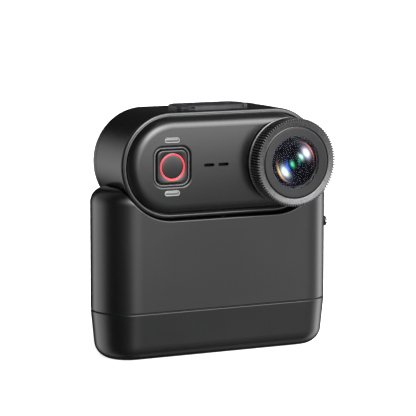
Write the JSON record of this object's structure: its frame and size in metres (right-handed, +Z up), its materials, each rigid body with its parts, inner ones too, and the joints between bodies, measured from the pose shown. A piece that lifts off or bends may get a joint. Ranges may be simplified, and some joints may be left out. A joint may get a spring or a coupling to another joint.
{
  "type": "action camera",
  "caption": "Pill-shaped action camera head with a knurled lens ring, seated in the saddle of a rounded battery dock with a rear screen.",
  "frame": {"origin": "middle of the flat base, on the axis of the tripod socket", "axes": "+X across the camera to the lens side, -Y out of the front, +Z up"},
  "size_m": [0.0703, 0.0282, 0.0681],
  "materials": {
    "dock_plastic": "fine satin moulded grain",
    "head_plastic": "satin soft-touch",
    "trim": "bright edged lip",
    "seal_rubber": "soft black",
    "button_gloss": "polished black",
    "record_red": "translucent red",
    "light_rim": "pale diffusing rim",
    "light_lens": "smoked lens",
    "knurl_metal": "fine textured black anodised",
    "lens_black": "matt black inner parts",
    "optical_glass": "coated",
    "screen_glass": "black cover glass",
    "display": "unlit display",
    "board_green": "solder mask",
    "chip": "moulded package",
    "cell_foil": "laminated foil",
    "contact_gold": "gold plated",
    "insert_brass": "turned",
    "contact_plastic": "moulded block",
    "magnet": "nickel plated",
    "screw_steel": "black zinc",
    "spreader": "rolled",
    "socket_steel": "stamped shell",
    "knob": "satin",
    "plate": "black anodised",
    "mesh_steel": "woven acoustic mesh"
  },
  "bodies": {
    "dock": {"dock_shell": "dock_plastic", "dock_base_cap": "dock_plastic", "cap_gasket": "seal_rubber", "tripod_insert": "insert_brass", "base_screws": "screw_steel", "screen_glass": "screen_glass", "display_panel": "display", "dock_board": "board_green", "dock_chips": "chip", "dock_cell": "cell_foil", "contact_block": "contact_plastic", "dock_magnets": "magnet", "switch_body": "chip", "usb_socket": "socket_steel", "dock_speaker": "chip"},
    "head": {"aperture_spacer": "lens_black", "back_cover": "head_plastic", "back_gasket": "seal_rubber", "button_bezel": "trim", "contact_pads": "contact_gold", "cover_screws": "screw_steel", "front_cover": "head_plastic", "front_element": "optical_glass", "head_board": "board_green", "head_cell": "cell_foil", "head_frame": "head_plastic", "head_magnets": "magnet", "heat_spreader": "spreader", "image_sensor": "chip", "infrared_filter": "optical_glass", "key_board": "board_green", "lens_barrel": "lens_black", "lens_mount": "lens_black", "light_lens_lower": "light_lens", "light_lens_upper": "light_lens", "light_rim_lower": "light_rim", "light_rim_upper": "light_rim", "mic_mesh": "mesh_steel", "microphones": "chip", "pad_block": "contact_plastic", "plate_screws": "screw_steel", "rear_element": "optical_glass", "sensor_board": "board_green", "tact_switch": "chip", "top_plate": "plate", "trim_lip": "trim"},
    "record_key": {"record_button": "button_gloss", "record_ring": "record_red", "switch_plunger": "contact_plastic"},
    "lens_guard": {"guard_ring": "knurl_metal", "cone_bezel": "lens_black", "guard_glass": "optical_glass", "glass_seal": "seal_rubber"},
    "side_switch": {"switch_knob": "knob"},
    "contact_plungers": {"spring_contacts": "contact_gold"}
  },
  "joints": [
    {"name": "head_lift_off", "type": "slide", "parent": "dock", "child": "head", "axis": [0, 0, 1], "range_m": [0, 0.03]},
    {"name": "record_press", "type": "slide", "parent": "head", "child": "record_key", "axis": [0, 1, 0], "range_m": [0, 0.0004], "stiffness_N_per_m": 900, "springref_m": -0.0006},
    {"name": "lens_guard_twist", "type": "hinge", "parent": "head", "child": "lens_guard", "pos_m": [0.0181, -0.0143, 0.0527], "axis": [0, 1, 0], "range_deg": [0, 60]},
    {"name": "side_switch_slide", "type": "slide", "parent": "dock", "child": "side_switch", "axis": [0, 0, 1], "range_m": [0, 0.0016]},
    {"name": "contact_press", "type": "slide", "parent": "dock", "child": "contact_plungers", "axis": [0, 0, -1], "range_m": [0, 0.0003], "stiffness_N_per_m": 300, "springref_m": -0.0005}
  ]
}
